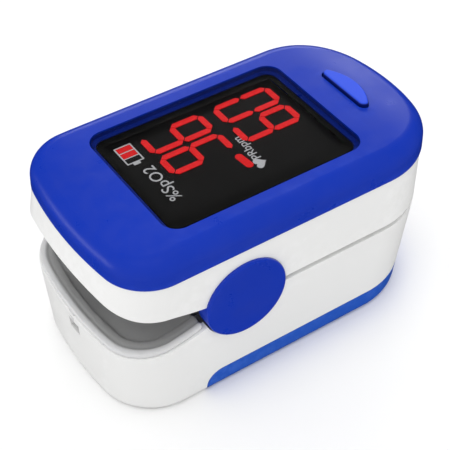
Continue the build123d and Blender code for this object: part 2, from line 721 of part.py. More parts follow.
# ---- power button and its switch ---------------------------------------
SWITCH_X = 20.5
with BuildPart() as switch_body:
    with BuildSketch(Plane.XY.offset(Z_PCB + PCB_T)):
        with Locations((SWITCH_X, 0)):
            Rectangle(4.4, 4.4)
    extrude(amount=1.9)
    chamfer(switch_body.edges().filter_by(Axis.Z), 0.35)
    with BuildSketch(Plane.XY.offset(Z_PCB + PCB_T + 0.5)):
        with Locations((SWITCH_X, 0)):
            Circle(1.15)
    extrude(amount=3, mode=Mode.SUBTRACT)
switch_body.part.label = "switch_body"

with BuildPart() as switch_plunger:
    with BuildSketch(Plane.XY.offset(27.6)):
        with Locations((SWITCH_X, 0)):
            Circle(1.05)
    extrude(amount=1.4)
switch_plunger.part.label = "switch_plunger"


def d_outline(x0, x1, half, corner):
    """Button outline: straight front edge, bowed rear edge, round ends."""
    with BuildSketch() as face:
        with BuildLine():
            Line((x0, -half + corner), (x0, half - corner))
            ThreePointArc((x0, half - corner), (x0 + 0.25 * corner, half - 0.2 * corner), (x0 + corner, half))
            ThreePointArc((x0 + corner, half), (x1, 0), (x0 + corner, -half))
            ThreePointArc((x0 + corner, -half), (x0 + 0.25 * corner, -half + 0.2 * corner), (x0, -half + corner))
        make_face()
    return face.sketch


with BuildPart() as power_button:
    with BuildSketch(Plane.XY.offset(29.0)):
        add(d_outline(BUTTON_X0 - 0.7, BUTTON_X1 + 0.7, BUTTON_HALF + 0.7, 1.3))
    extrude(amount=0.9)
    with BuildSketch(Plane.XY.offset(29.5)):
        add(d_outline(BUTTON_X0, BUTTON_X1, BUTTON_HALF, 1.1))
    extrude(amount=32.1 - 29.5)
    fillet(power_button.faces().sort_by(Axis.Z)[-1].edges(), 0.3)
power_button.part.label = "power_button"

# ---- top cover ----------------------------------------------------------
CROWN = [(-31.0, 29.9), (-27.0, 30.85), (-22.5, 31.4), (-18.0, Z_TOP)]
CROWN_REAR = [(16.0, Z_TOP), (20.5, 31.44), (24.5, 31.0), (31.0, 29.6)]
with BuildPart() as crown:
    with BuildSketch(Plane.XZ.offset(-25)):
        with BuildLine():
            front_slope = Spline(CROWN, tangents=[(1.0, 0.27), (1.0, 0.0)])
            flat = Line(front_slope @ 1, CROWN_REAR[0])
            rear_slope = Spline(CROWN_REAR, tangents=[(1.0, 0.0), (1.0, -0.25)])
            Polyline(rear_slope @ 1, (31.0, 20.0), (-31.0, 20.0), front_slope @ 0)
        make_face()
    extrude(amount=50)

with BuildPart() as cover_body:
    with BuildSketch(Plane.XY.offset(Z_COVER_LINE)):
        add(cover_plan(0))
    extrude(amount=6, taper=2.0)
    add(crown.part, mode=Mode.INTERSECT)
    fillet(cover_body.edges().filter_by(lambda e: e.center().Z > Z_COVER_LINE + 1.5 and abs(e.length) > 0.1 and e.bounding_box().min.Z > Z_COVER_LINE + 0.5), 2.6)

with BuildPart() as top_cover:
    add(cover_body.part)
    with BuildSketch(Plane.XY.offset(Z_COVER_LINE)):
        add(cover_plan(SHELL_INSET + WALL))
    with BuildSketch(Plane.XY.offset(Z_COVER_LINE + 1.9)):
        add(cover_plan(SHELL_INSET + WALL))
    loft(ruled=True, mode=Mode.SUBTRACT)
    with BuildSketch(Plane.XY.offset(Z_COVER_LINE + 1.9)):
        add(cover_plan(2.9))
    extrude(amount=30.15 - Z_COVER_LINE - 1.9, mode=Mode.SUBTRACT)
    # window seat and opening
    with BuildSketch(Plane.XY.offset(30.6)):
        with Locations((WINDOW_X, 0)):
            RectangleRounded(WINDOW_L + 0.1, WINDOW_W + 0.1, WINDOW_R + 0.05)
    extrude(amount=3, mode=Mode.SUBTRACT)
    with BuildSketch(Plane.XY.offset(29)):
        with Locations((WINDOW_X, 0)):
            RectangleRounded(WINDOW_L - 1.6, WINDOW_W - 1.6, WINDOW_R - 0.8)
    extrude(amount=3, mode=Mode.SUBTRACT)
    # button opening
    with BuildSketch(Plane.XY.offset(29)):
        add(d_outline(BUTTON_X0 - 0.22, BUTTON_X1 + 0.22, BUTTON_HALF + 0.22, 1.25))
    extrude(amount=4, mode=Mode.SUBTRACT)
    # screw bosses
    with BuildSketch(Plane.XY.offset(Z_PCB + PCB_T)):
        with Locations(*SCREW_POINTS):
            Circle(1.9)
    extrude(amount=30.4 - Z_PCB - PCB_T)
    with BuildSketch(Plane.XY.offset(Z_PCB + PCB_T - 0.1)):
        with Locations(*SCREW_POINTS):
            Circle(0.8)
    extrude(amount=3.4, mode=Mode.SUBTRACT)
top_cover.part.label = "top_cover"

with BuildPart() as display_window:
    with BuildSketch(Plane.XY.offset(30.6)):
        with Locations((WINDOW_X, 0)):
            RectangleRounded(WINDOW_L, WINDOW_W, WINDOW_R)
    extrude(amount=0.85)
    chamfer(display_window.faces().sort_by(Axis.Z)[-1].edges(), 0.15)
display_window.part.label = "display_window"

with BuildPart() as cover_screws:
    with BuildSketch(Plane.XY.offset(Z_CEILING + 0.05)):
        with Locations(*SCREW_POINTS):
            Circle(1.6)
    extrude(amount=1.05)
    with BuildSketch(Plane.XY.offset(Z_CEILING + 1.1)):
        with Locations(*SCREW_POINTS):
            Circle(0.8)
    extrude(amount=29.3 - Z_CEILING - 1.1)
    for x, y in SCREW_POINTS:
        with BuildSketch(Plane.XY.offset(Z_CEILING + 0.05)):
            with Locations((x, y)):
                Rectangle(1.9, 0.4)
                Rectangle(0.4, 1.9)
        extrude(amount=0.5, mode=Mode.SUBTRACT)
cover_screws.part.label = "cover_screws"

# ---- flex ribbon between the halves, behind the finger stop -------------
with BuildPart() as flex_ribbon:
    with BuildSketch(Plane.XY.offset(13.0)):
        with Locations((19.1, 0)):
            Rectangle(0.2, 5.0)
    extrude(amount=Z_PCB - 13.0 - 0.05)
flex_ribbon.part.label = "flex_ribbon"

# =========================================================================
export_step(lower_housing.part, "parts/lower_housing.step")
export_step(battery_cover.part, "parts/battery_cover.step")
export_step(battery_left.part, "parts/battery_left.step")
export_step(battery_right.part, "parts/battery_right.step")
export_step(front_contact_plate.part, "parts/front_contact_plate.step")
export_step(rear_contact_plates.part, "parts/rear_contact_plates.step")
export_step(contact_springs.part, "parts/contact_springs.step")
export_step(sensor_board.part, "parts/sensor_board.step")
export_step(photodiode.part, "parts/photodiode.step")
export_step(photodiode_window.part, "parts/photodiode_window.step")
export_step(lower_finger_pad.part, "parts/lower_finger_pad.step")
export_step(spring_anchor_pins.part, "parts/spring_anchor_pins.step")
export_step(hinge_pin.part, "parts/hinge_pin.step")
export_step(return_spring_left.part, "parts/return_spring_left.step")
export_step(return_spring_right.part, "parts/return_spring_right.step")
export_step(upper_housing.part, "parts/upper_housing.step")
export_step(side_disc_left.part, "parts/side_disc_left.step")
export_step(side_disc_right.part, "parts/side_disc_right.step")
export_step(spring_posts.part, "parts/spring_posts.step")
export_step(upper_finger_pad.part, "parts/upper_finger_pad.step")
export_step(emitter_window.part, "parts/emitter_window.step")
export_step(emitter_led.part, "parts/emitter_led.step")
export_step(main_circuit_board.part, "parts/main_circuit_board.step")
export_step(led_display_module.part, "parts/led_display_module.step")
export_step(display_segments.part, "parts/display_segments.step")
export_step(microcontroller.part, "parts/microcontroller.step")
export_step(crystal.part, "parts/crystal.step")
export_step(chip_capacitors.part, "parts/chip_capacitors.step")
export_step(switch_body.part, "parts/switch_body.step")
export_step(switch_plunger.part, "parts/switch_plunger.step")
export_step(power_button.part, "parts/power_button.step")
export_step(top_cover.part, "parts/top_cover.step")
export_step(display_window.part, "parts/display_window.step")
export_step(cover_screws.part, "parts/cover_screws.step")
export_step(flex_ribbon.part, "parts/flex_ribbon.step")
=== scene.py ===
import json
import math

import bmesh
import bpy
from mathutils import Matrix, Vector


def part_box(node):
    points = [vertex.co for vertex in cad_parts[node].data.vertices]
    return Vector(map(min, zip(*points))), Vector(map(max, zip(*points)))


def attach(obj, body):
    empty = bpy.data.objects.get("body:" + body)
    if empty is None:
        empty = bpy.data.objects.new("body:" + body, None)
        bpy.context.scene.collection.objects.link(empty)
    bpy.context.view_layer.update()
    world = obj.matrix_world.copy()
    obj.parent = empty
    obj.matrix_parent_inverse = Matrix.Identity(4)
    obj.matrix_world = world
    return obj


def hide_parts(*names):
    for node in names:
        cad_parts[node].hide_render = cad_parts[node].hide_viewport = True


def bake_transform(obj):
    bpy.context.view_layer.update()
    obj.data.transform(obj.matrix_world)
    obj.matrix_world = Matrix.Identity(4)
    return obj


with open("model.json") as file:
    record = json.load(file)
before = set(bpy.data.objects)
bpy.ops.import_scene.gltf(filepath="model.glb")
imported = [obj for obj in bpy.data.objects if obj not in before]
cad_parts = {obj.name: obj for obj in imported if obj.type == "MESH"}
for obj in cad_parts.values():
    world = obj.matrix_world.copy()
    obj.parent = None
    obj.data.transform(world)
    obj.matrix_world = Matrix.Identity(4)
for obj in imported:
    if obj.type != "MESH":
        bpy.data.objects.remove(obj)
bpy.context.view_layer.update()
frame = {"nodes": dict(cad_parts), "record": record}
NODES = frame["nodes"]
MM = 0.001

# ---------------------------------------------------------------- helpers


def lin(r, g, b):
    """sRGB 0..255 to linear."""
    def f(c):
        c /= 255.0
        return c / 12.92 if c <= 0.04045 else ((c + 0.055) / 1.055) ** 2.4
    return (f(r), f(g), f(b), 1.0)


def new_mat(name):
    m = bpy.data.materials.new(name)
    m.use_nodes = True
    nt = m.node_tree
    nt.nodes.clear()
    out = nt.nodes.new("ShaderNodeOutputMaterial")
    bsdf = nt.nodes.new("ShaderNodeBsdfPrincipled")
    nt.links.new(bsdf.outputs[0], out.inputs[0])
    return m, nt, bsdf


def node(nt, kind, **values):
    n = nt.nodes.new(kind)
    for k, v in values.items():
        if k.startswith("in_"):
            n.inputs[int(k[3:]) if k[3:].isdigit() else k[3:].replace("_", " ").title()].default_value = v
        else:
            setattr(n, k, v)
    return n


def coords(nt, scale=(1, 1, 1), rot=(0, 0, 0)):
    tc = nt.nodes.new("ShaderNodeTexCoord")
    mp = nt.nodes.new("ShaderNodeMapping")
    mp.inputs["Scale"].default_value = scale
    mp.inputs["Rotation"].default_value = rot
    nt.links.new(tc.outputs["Object"], mp.inputs["Vector"])
    return mp.outputs["Vector"]


def noise(nt, vec, scale, detail=3.0, rough=0.5, distortion=0.0):
    n = nt.nodes.new("ShaderNodeTexNoise")
    n.inputs["Scale"].default_value = scale
    n.inputs["Detail"].default_value = detail
    n.inputs["Roughness"].default_value = rough
    n.inputs["Distortion"].default_value = distortion
    nt.links.new(vec, n.inputs["Vector"])
    return n.outputs["Fac"]


def ramp(nt, fac, stops):
    r = nt.nodes.new("ShaderNodeValToRGB")
    while len(r.color_ramp.elements) < len(stops):
        r.color_ramp.elements.new(0.5)
    for e, (p, c) in zip(r.color_ramp.elements, stops):
        e.position = p
        e.color = c
    nt.links.new(fac, r.inputs[0])
    return r.outputs[0]


def maprange(nt, fac, a, b, c, d, clamp=True):
    n = nt.nodes.new("ShaderNodeMapRange")
    n.clamp = clamp
    for i, v in enumerate((a, b, c, d)):
        n.inputs[i + 1].default_value = v
    nt.links.new(fac, n.inputs[0])
    return n.outputs[0]


def mix(nt, fac, a, b):
    n = nt.nodes.new("ShaderNodeMix")
    n.data_type = "RGBA"
    for sock, v in ((n.inputs[0], fac), (n.inputs[6], a), (n.inputs[7], b)):
        if isinstance(v, bpy.types.NodeSocket):
            nt.links.new(v, sock)
        else:
            sock.default_value = v
    return n.outputs[2]


def bump(nt, bsdf, height, strength, distance, prev=None):
    n = nt.nodes.new("ShaderNodeBump")
    n.inputs["Strength"].default_value = strength
    n.inputs["Distance"].default_value = distance
    nt.links.new(height, n.inputs["Height"])
    if prev is not None:
        nt.links.new(prev, n.inputs["Normal"])
    nt.links.new(n.outputs[0], bsdf.inputs["Normal"])
    return n.outputs[0]


def edge_mask(nt, low=0.52, high=0.60):
    """1 along convex edges, from the mesh's own curvature."""
    g = nt.nodes.new("ShaderNodeNewGeometry")
    return maprange(nt, g.outputs["Pointiness"], low, high, 0.0, 1.0)


def plastic(name, colour, rough, edge_wear_and_highlight_colour=None, grain=2200.0, grain_h=0.000004, wave_h=0.000012, var=0.03, coat=0.0, spec=0.5, edge_wear_and_highlight_amount=0.35, rough_var=0.06, side=None):
    """Moulded plastic: slow colour drift, faint flow variation in the gloss, fine skin texture, convex edges lightened
    partly as wear and partly as a painted edge highlight, and optional painted shade on upright walls.
    """
    m, nt, b = new_mat(name)
    v = coords(nt)
    slow = noise(nt, v, 90.0, 2.0)
    c = [min(1.0, x) for x in colour[:3]]
    dark = tuple(x * (1 - var) for x in c) + (1,)
    light = tuple(min(1, x * (1 + var)) for x in c) + (1,)
    col = ramp(nt, slow, [(0.3, dark), (0.7, light)])
    # convex edges mixed toward a lighter colour in patches: partly wear, partly a painted edge highlight
    e = edge_mask(nt)
    edge_patch_noise = noise(nt, v, 700.0, 4.0, 0.6)
    w = nt.nodes.new("ShaderNodeMath"); w.operation = "MULTIPLY"
    nt.links.new(e, w.inputs[0]); nt.links.new(maprange(nt, edge_patch_noise, 0.42, 0.62, 0.0, edge_wear_and_highlight_amount), w.inputs[1])
    ec = edge_wear_and_highlight_colour or tuple(min(1.0, x * 1.6 + 0.02) for x in c) + (1,)
    surface_colour = mix(nt, w.outputs[0], col, ec)
    if side is not None:
        # painted shade: upright walls get a darker colour than the top face
        g = nt.nodes.new("ShaderNodeNewGeometry")
        sep = nt.nodes.new("ShaderNodeSeparateXYZ")
        nt.links.new(g.outputs["Normal"], sep.inputs[0])
        surface_colour = mix(nt, maprange(nt, sep.outputs["Z"], 0.35, 0.85, 0.0, 1.0), side, surface_colour)
    nt.links.new(surface_colour, b.inputs["Base Color"])
    r = maprange(nt, noise(nt, v, 260.0, 5.0, 0.6), 0.3, 0.7, rough - rough_var, rough + rough_var)
    nt.links.new(r, b.inputs["Roughness"])
    fine = noise(nt, v, grain, 2.0)
    p = bump(nt, b, fine, 0.35, grain_h)
    bump(nt, b, noise(nt, v, 160.0, 1.0), 0.5, wave_h, p)
    b.inputs["Specular IOR Level"].default_value = spec
    b.inputs["Coat Weight"].default_value = coat
    b.inputs["Coat Roughness"].default_value = 0.15
    return m


def metal(name, colour, rough, scratch=(1, 1, 30), grain=900.0):
    m, nt, b = new_mat(name)
    v = coords(nt, scratch)
    n1 = noise(nt, v, grain, 4.0, 0.65)
    nt.links.new(ramp(nt, n1, [(0.3, tuple(x * 0.82 for x in colour[:3]) + (1,)), (0.7, colour)]), b.inputs["Base Color"])
    nt.links.new(maprange(nt, n1, 0.3, 0.7, rough - 0.08, rough + 0.1), b.inputs["Roughness"])
    bump(nt, b, n1, 0.3, 0.000006)
    b.inputs["Metallic"].default_value = 1.0
    return m


def silicone(name, colour, light):
    m, nt, b = new_mat(name)
    v = coords(nt)
    col = ramp(nt, noise(nt, v, 120.0, 3.0), [(0.25, tuple(x * 0.94 for x in colour[:3]) + (1,)), (0.75, tuple(x * 1.05 for x in colour[:3]) + (1,))])
    # the 'rim' attribute mixes in the lighter colour: a painted highlight on the pad's bead rim
    g = nt.nodes.new("ShaderNodeVertexColor"); g.layer_name = "rim"
    nt.links.new(mix(nt, g.outputs["Color"], col, light), b.inputs["Base Color"])
    nt.links.new(maprange(nt, noise(nt, v, 300.0, 4.0), 0.3, 0.7, 0.52, 0.66), b.inputs["Roughness"])
    vo = nt.nodes.new("ShaderNodeTexVoronoi"); vo.inputs["Scale"].default_value = 5200.0
    nt.links.new(v, vo.inputs["Vector"])
    p = bump(nt, b, vo.outputs["Distance"], 0.35, 0.00001)
    bump(nt, b, noise(nt, v, 420.0, 2.0), 0.4, 0.00002, p)
    b.inputs["Subsurface Weight"].default_value = 0.08
    b.inputs["Subsurface Radius"].default_value = (0.0006, 0.0005, 0.0004)
    b.inputs["Sheen Weight"].default_value = 0.08
    b.inputs["Sheen Roughness"].default_value = 0.4
    return m


BLUE = lin(6, 47, 166)
MAT = {}
# the lighter edge colours are partly wear and partly a painted highlight along ridges and edges
MAT["cover_blue"] = plastic("cover_blue", lin(8, 50, 176), 0.32, edge_wear_and_highlight_colour=lin(40, 78, 205), spec=0.32, edge_wear_and_highlight_amount=0.25)
# button_blue's side colour is painted shade on the button's upright walls, which sit in the recess
MAT["button_blue"] = plastic("button_blue", lin(40, 80, 226), 0.42, edge_wear_and_highlight_colour=lin(90, 125, 240), spec=0.3, side=lin(4, 22, 104))
# tray_blue's lighter blue is painted light: the floor's bounce light on the bottom cover is painted into its colour
MAT["tray_blue"] = plastic("tray_blue", lin(30, 88, 196), 0.38, edge_wear_and_highlight_colour=lin(80, 125, 220), spec=0.3)
MAT["shell_white"] = plastic("shell_white", lin(238, 238, 237), 0.42, edge_wear_and_highlight_colour=lin(248, 248, 248), var=0.008, spec=0.35)
MAT["pad_grey"] = silicone("pad_grey", lin(150, 150, 150), lin(216, 216, 217))
MAT["module_black"] = plastic("module_black", lin(22, 21, 22), 0.5, var=0.08, edge_wear_and_highlight_colour=lin(50, 50, 52))
MAT["chip_black"] = plastic("chip_black", lin(26, 26, 28), 0.55, edge_wear_and_highlight_colour=lin(70, 70, 72))
MAT["sensor_dark"] = plastic("sensor_dark", lin(52, 40, 44), 0.3)
MAT["steel"] = metal("steel", lin(200, 202, 205), 0.28)
MAT["contact_metal"] = metal("contact_metal", lin(214, 206, 184), 0.3)
MAT["flex_amber"] = plastic("flex_amber", lin(190, 112, 36), 0.35, var=0.1)


def board_mat():
    m, nt, b = new_mat("board_green")
    v = coords(nt)
    # copper tracks under the solder mask: thin stripes broken by noise
    w = nt.nodes.new("ShaderNodeTexBrick")
    w.inputs["Scale"].default_value = 260.0
    w.inputs["Mortar Size"].default_value = 0.018
    w.inputs["Color1"].default_value = lin(20, 78, 44)
    w.inputs["Color2"].default_value = lin(24, 88, 50)
    w.inputs["Mortar"].default_value = lin(52, 130, 74)
    nt.links.new(v, w.inputs["Vector"])
    nt.links.new(w.outputs["Color"], b.inputs["Base Color"])
    nt.links.new(maprange(nt, noise(nt, v, 400.0), 0.3, 0.7, 0.25, 0.4), b.inputs["Roughness"])
    bump(nt, b, w.outputs["Fac"], 0.5, 0.00002)
    return m


def cell_mat():
    m, nt, b = new_mat("cell_wrap")
    tc = nt.nodes.new("ShaderNodeTexCoord")
    sep = nt.nodes.new("ShaderNodeSeparateXYZ")
    nt.links.new(tc.outputs["Object"], sep.inputs[0])
    # sleeve with a copper coloured end band
    band = ramp(nt, maprange(nt, sep.outputs["X"], -0.024, 0.024, 0.0, 1.0), [(0.0, lin(206, 204, 198)), (0.055, lin(30, 32, 38)), (0.70, lin(30, 32, 38)), (0.72, lin(186, 112, 48))])
    v = coords(nt)
    nt.links.new(mix(nt, maprange(nt, noise(nt, v, 500.0, 4.0), 0.55, 0.8, 0.0, 0.25), band, lin(120, 120, 124)), b.inputs["Base Color"])
    nt.links.new(maprange(nt, noise(nt, v, 200.0), 0.3, 0.7, 0.22, 0.36), b.inputs["Roughness"])
    bump(nt, b, noise(nt, v, 1500.0, 2.0), 0.3, 0.000006)
    return m


MAT["board_green"] = board_mat()
MAT["cell_wrap"] = cell_mat()


def segment_mat():
    m, nt, b = new_mat("segment_red")
    v = coords(nt)
    n = noise(nt, v, 1500.0, 2.0)
    col = ramp(nt, n, [(0.3, lin(226, 22, 28)), (0.7, lin(245, 34, 38))])
    nt.links.new(col, b.inputs["Base Color"])
    nt.links.new(col, b.inputs["Emission Color"])
    nt.links.new(maprange(nt, n, 0.3, 0.7, 0.4, 0.5), b.inputs["Roughness"])
    b.inputs["Emission Strength"].default_value = 0.95
    return m


def ink_mat(name, colour, glow):
    m, nt, b = new_mat(name)
    v = coords(nt)
    n = noise(nt, v, 2500.0, 3.0)
    col = ramp(nt, n, [(0.3, tuple(x * 0.9 for x in colour[:3]) + (1,)), (0.7, colour)])
    nt.links.new(col, b.inputs["Base Color"])
    nt.links.new(col, b.inputs["Emission Color"])
    nt.links.new(maprange(nt, n, 0.3, 0.7, 0.5, 0.6), b.inputs["Roughness"])
    b.inputs["Emission Strength"].default_value = glow
    return m


MAT["segment_red"] = segment_mat()
INK_WHITE = ink_mat("ink_white", lin(225, 226, 230), 0.5)
INK_RED = ink_mat("ink_red", lin(236, 20, 26), 0.9)


def glass_mat(name, colour, rough, alpha):
    """Thin clear or smoked plate: see-through by alpha, with a polished face and faint dust."""
    m, nt, b = new_mat(name)
    v = coords(nt)
    dust = maprange(nt, noise(nt, v, 900.0, 6.0, 0.7), 0.60, 0.78, 0.0, 0.10)
    nt.links.new(mix(nt, dust, colour, lin(120, 120, 124)), b.inputs["Base Color"])
    nt.links.new(maprange(nt, noise(nt, v, 120.0, 4.0), 0.3, 0.7, rough, rough + 0.05), b.inputs["Roughness"])
    b.inputs["Alpha"].default_value = alpha
    b.inputs["IOR"].default_value = 1.49
    bump(nt, b, noise(nt, v, 60.0, 1.0), 0.2, 0.000006)
    return m


MAT["window_smoke"] = glass_mat("window_smoke", lin(14, 14, 13), 0.16, 0.28)
MAT["clear_lens"] = glass_mat("clear_lens", lin(214, 220, 224), 0.12, 0.45)

slot_of = {s["node"]: s["material_slot"] for s in frame["record"]["subparts"]}
for name, ob in NODES.items():
    ob.data.materials.clear()
    ob.data.materials.append(MAT[slot_of[name]])


# ---------------------------------------------------------------- mesh helpers


def link(name, bm_or_mesh, mats):
    if isinstance(bm_or_mesh, bmesh.types.BMesh):
        me = bpy.data.meshes.new(name)
        bm_or_mesh.to_mesh(me)
        bm_or_mesh.free()
    else:
        me = bm_or_mesh
        me.name = name
    ob = bpy.data.objects.new(name, me)
    bpy.context.scene.collection.objects.link(ob)
    me.materials.clear()
    for m in mats:
        me.materials.append(m)
    return ob


def copy_node(node_name, name, mat):
    """A new object with the node's mesh, in the same place."""
    me = NODES[node_name].data.copy()
    ob = link(name, me, [mat])
    ob.matrix_world = NODES[node_name].matrix_world.copy()
    return ob


def apply_mods(ob):
    dg = bpy.context.evaluated_depsgraph_get()
    me = bpy.data.meshes.new_from_object(ob.evaluated_get(dg))
    old = ob.data
    ob.modifiers.clear()
    ob.data = me
    me.name = ob.name
    bpy.data.meshes.remove(old)


def prism(name, outline, z0, z1, mat, holes=(), bevel=0.0):
    """Flat plate between z0 and z1 from a plan outline in millimetres, with optional holes joined by bridging rings."""
    bm = bmesh.new()
    rings = [outline] + list(holes)
    loops = []
    for pts in rings:
        lo = [bm.verts.new((x * MM, y * MM, z0 * MM)) for x, y in pts]
        hi = [bm.verts.new((x * MM, y * MM, z1 * MM)) for x, y in pts]
        for i in range(len(pts)):
            j = (i + 1) % len(pts)
            bm.faces.new((lo[i], lo[j], hi[j], hi[i]))
        loops.append((lo, hi))
    if not holes:
        bm.faces.new(loops[0][1])
        bm.faces.new(list(reversed(loops[0][0])))
    else:
        for k in (0, 1):
            es = []
            for lo_hi in loops:
                vs = lo_hi[k]
                for i in range(len(vs)):
                    e = bm.edges.get((vs[i], vs[(i + 1) % len(vs)]))
                    es.append(e)
            bmesh.ops.triangle_fill(bm, use_beauty=True, use_dissolve=False, edges=es)
    bmesh.ops.recalc_face_normals(bm, faces=bm.faces)
    ob = link(name, bm, [mat])
    if bevel:
        m = ob.modifiers.new("bevel", "BEVEL")
        m.width = bevel * MM
        m.segments = 2
        m.limit_method = "ANGLE"
        apply_mods(ob)
    return ob


def rounded_rect(x0, x1, y0, y1, r, n=8):
    pts = []
    for cx, cy, a0 in ((x1 - r, y1 - r, 0), (x0 + r, y1 - r, 90), (x0 + r, y0 + r, 180), (x1 - r, y0 + r, 270)):
        for k in range(n + 1):
            a = math.radians(a0 + 90 * k / n)
            pts.append((cx + r * math.cos(a), cy + r * math.sin(a)))
    return pts


# ---------------------------------------------------------------- display
wlo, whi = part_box("display_window")
mlo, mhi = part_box("led_display_module")
Z_MOD = mhi[2] / MM
Z_INK = Z_MOD + 0.02
Z_PRINT = wlo[2] / MM - 0.06
PRINT = plastic("window_print", lin(15, 15, 13), 0.35, var=0.1, edge_wear_and_highlight_colour=lin(15, 15, 13), spec=0.4)
ring = prism("window_border_print", rounded_rect(wlo[0] / MM + 0.95, whi[0] / MM - 0.95, wlo[1] / MM + 0.95, whi[1] / MM - 0.95, 1.7),
             Z_PRINT, Z_PRINT + 0.05, PRINT, holes=[rounded_rect(-16.9, 12.7, -9.2, 9.6, 0.4)])
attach(ring, "upper")


def label(name, text, x, y, height, mat, spread=1.0):
    """Generic unit legend, its top towards -X, read along +Y. x is the base line, y the start."""
    cu = bpy.data.curves.new(name, "FONT")
    cu.body = text
    cu.size = height * MM * 1.38
    cu.extrude = 0.015 * MM
    cu.space_character = spread
    tmp = bpy.data.objects.new(name + "_t", cu)
    bpy.context.scene.collection.objects.link(tmp)
    dg = bpy.context.evaluated_depsgraph_get()
    me = bpy.data.meshes.new_from_object(tmp.evaluated_get(dg))
    bpy.data.objects.remove(tmp)
    me.transform(Matrix.Translation(Vector((x * MM, y * MM, Z_INK * MM))) @ Matrix.Rotation(math.radians(90), 4, "Z"))
    ob = link(name, me, [mat])
    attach(ob, "upper")
    return ob


label("legend_spo2", "%SpO2", -12.6, -5.25, 1.95, INK_WHITE, 1.04)
label("legend_pr", "PRbpm", 1.3, -4.4, 1.45, INK_WHITE, 1.0)

# battery symbol: outline, nub and two lit cells
X0, X1, Y0, Y1 = -15.6, -12.8, 4.7, 8.85
frame_ring = prism("battery_symbol_outline", rounded_rect(X0, X1, Y0, Y1, 0.12, 3), Z_INK, Z_INK + 0.03, INK_WHITE,
                   holes=[rounded_rect(X0 + 0.2, X1 - 0.2, Y0 + 0.2, 5.95, 0.05, 2), rounded_rect(X0 + 0.2, X1 - 0.2, 6.1, 7.32, 0.05, 2),
                          rounded_rect(X0 + 0.2, X1 - 0.2, 7.47, Y1 - 0.2, 0.05, 2)])
nub = prism("battery_symbol_nub", rounded_rect(-14.75, -13.65, 4.2, 4.68, 0.1, 3), Z_INK, Z_INK + 0.03, INK_WHITE)
bar_a = prism("battery_symbol_bar_a", rounded_rect(X0 + 0.24, X1 - 0.24, 6.14, 7.28, 0.06, 2), Z_INK, Z_INK + 0.025, INK_RED)
bar_b = prism("battery_symbol_bar_b", rounded_rect(X0 + 0.24, X1 - 0.24, 7.51, Y1 - 0.24, 0.06, 2), Z_INK, Z_INK + 0.025, INK_RED)
# pulse bar and heart
heart = []
for k in range(48):
    t = 2 * math.pi * k / 48
    hx = 16 * math.sin(t) ** 3
    hy = 13 * math.cos(t) - 5 * math.cos(2 * t) - 2 * math.cos(3 * t) - math.cos(4 * t)
    heart.append((0.34 - hy * 0.066, -5.3 + hx * 0.066))
heart_ob = prism("heart_symbol", heart, Z_INK, Z_INK + 0.03, INK_WHITE)


def capsule(xa, ya, xb, yb, r, n=10):
    a0 = math.atan2(yb - ya, xb - xa)
    pts = [(xb + r * math.cos(a0 + math.radians(-90 + 180 * k / n)), yb + r * math.sin(a0 + math.radians(-90 + 180 * k / n))) for k in range(n + 1)]
    pts += [(xa + r * math.cos(a0 + math.radians(90 + 180 * k / n)), ya + r * math.sin(a0 + math.radians(90 + 180 * k / n))) for k in range(n + 1)]
    return pts


pulse = prism("pulse_bar", capsule(-1.36, -2.55, -1.13, -4.75, 0.62), Z_INK, Z_INK + 0.03, INK_RED)
for ob in (frame_ring, nub, bar_a, bar_b, heart_ob, pulse):
    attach(ob, "upper")

# ---------------------------------------------------------------- soft pads
import numpy as np


def plan_points(x_front, x_rear, half, rear_r, rear_corner, front_r, front_corner, n=14):
    dy = half - rear_corner
    dx = math.sqrt((rear_r - rear_corner) ** 2 - dy ** 2)
    xc = x_rear - rear_r + dx
    a = math.atan2(dy, dx)
    dy2 = half - front_corner
    dx2 = math.sqrt((front_r - front_corner) ** 2 - dy2 ** 2)
    xk = x_front + front_r - dx2
    b = math.atan2(dy2, dx2)
    out = []

    def arc(cx, cy, r, a0, a1):
        for k in range(n):
            t = a0 + (a1 - a0) * k / n
            out.append((cx + r * math.cos(t), cy + r * math.sin(t)))
    arc(x_rear - rear_r, 0, rear_r, -a, a)
    arc(xc, dy, rear_corner, a, math.pi / 2)
    arc(xk, dy2, front_corner, math.pi / 2, math.pi - b)
    arc(x_front + front_r, 0, front_r, math.pi - b, math.pi + b)
    arc(xk, -dy2, front_corner, math.pi + b, 1.5 * math.pi)
    arc(xc, -dy, rear_corner, 1.5 * math.pi, 2 * math.pi - a)
    return np.array(out)


def dist_to(poly, P):
    A = poly
    B = np.roll(poly, -1, axis=0)
    AB = B - A
    t = np.clip(((P[:, None] - A[None]) * AB[None]).sum(2) / (AB ** 2).sum(1)[None], 0, 1)
    C = A[None] + t[..., None] * AB[None]
    return np.sqrt(((P[:, None] - C) ** 2).sum(2)).min(1)


def get_co(me):
    v = np.empty(len(me.vertices) * 3)
    me.vertices.foreach_get("co", v)
    return v.reshape(-1, 3) / MM


def set_co(me, v):
    me.vertices.foreach_set("co", (v * MM).ravel())
    me.update()


def moulded(node_name, name, voxel, smooth, mat):
    """A pad of moulded silicone: an even skin with eased edges, from the node's own shape."""
    ob = copy_node(node_name, name, mat)
    m = ob.modifiers.new("skin", "REMESH")
    m.mode = "VOXEL"
    m.voxel_size = voxel * MM
    m.use_smooth_shade = True
    sm = ob.modifiers.new("ease", "SMOOTH")
    sm.factor = 0.5
    sm.iterations = smooth
    apply_mods(ob)
    return ob


# writes the painted highlight along the bead rim as the 'rim' colour attribute
def paint_rim_highlight(ob, value):
    me = ob.data
    at = me.color_attributes.new("rim", "FLOAT_COLOR", "POINT")
    c = np.ones((len(me.vertices), 4))
    c[:, :3] = np.clip(value, 0, 1)[:, None]
    at.data.foreach_set("color", c.ravel())


def keep_within(v, lo, hi):
    """The skin never stands outside the solid it replaces."""
    return np.minimum(np.maximum(v, np.array(lo) / MM), np.array(hi) / MM)


